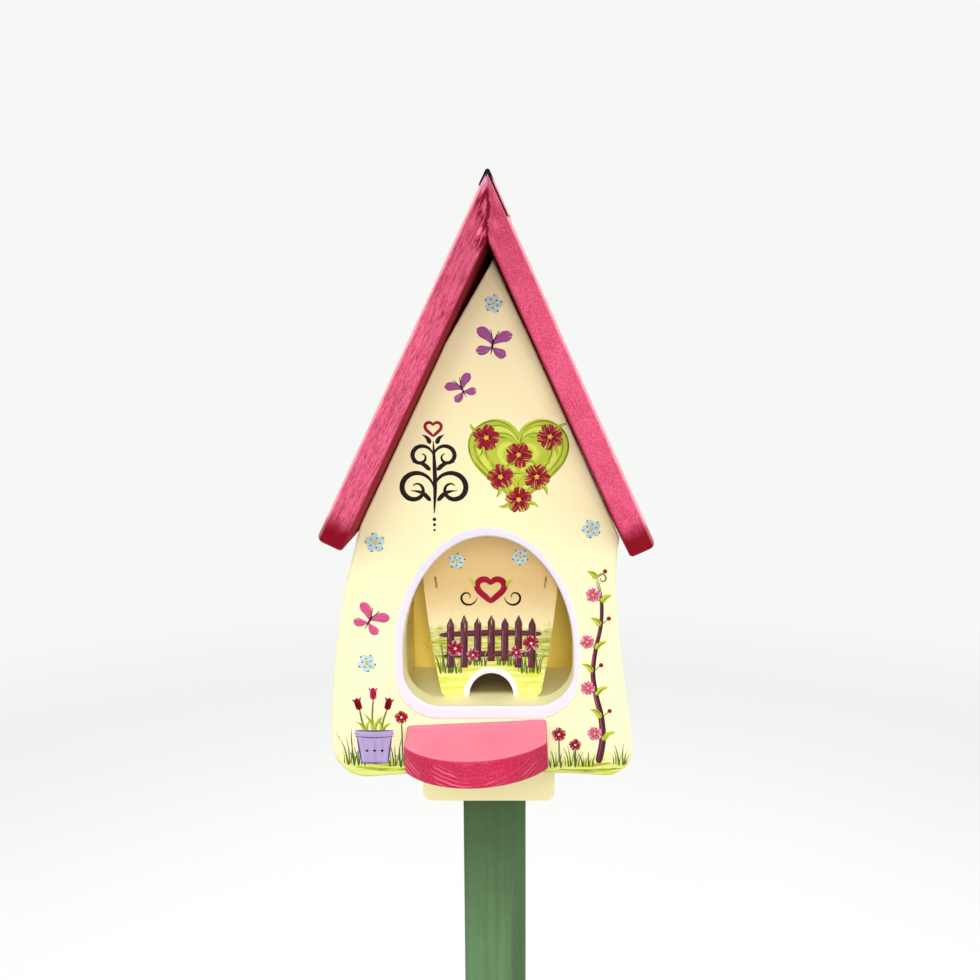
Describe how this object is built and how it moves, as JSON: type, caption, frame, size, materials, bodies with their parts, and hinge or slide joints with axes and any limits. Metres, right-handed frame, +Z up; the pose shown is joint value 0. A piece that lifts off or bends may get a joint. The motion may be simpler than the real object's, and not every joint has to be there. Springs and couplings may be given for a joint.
{
  "type": "post mounted bird feeder house",
  "caption": "Painted wooden bird feeder house with a steep gable roof, arched feeding opening, seed hopper and bow-fronted perch board, on a square garden post.",
  "frame": {"origin": "centre of the post's foot, on its bottom face", "axes": "+Z up along the post, the feeding opening faces -Y, +X to the right seen from the front"},
  "size_m": [0.2256, 0.2065, 1.4983],
  "materials": {
    "cream_paint": "satin paint on softwood",
    "red_paint": "satin paint on softwood",
    "green_paint": "matt stain on softwood",
    "ridge_rubber": "matt",
    "staple_wire": "dull, painted over"
  },
  "bodies": {
    "root": {"front_panel": "cream_paint", "back_panel": "cream_paint", "left_wall": "cream_paint", "right_wall": "cream_paint", "floor_board": "cream_paint", "left_roof_board": "red_paint", "right_roof_board": "red_paint", "ridge_strip": "ridge_rubber", "landing_board": "red_paint", "hopper_front": "cream_paint", "hopper_left_cheek": "cream_paint", "hopper_right_cheek": "cream_paint", "hopper_left_staple": "staple_wire", "hopper_right_staple": "staple_wire", "mounting_block": "cream_paint", "post": "green_paint"}
  },
  "joints": []
}
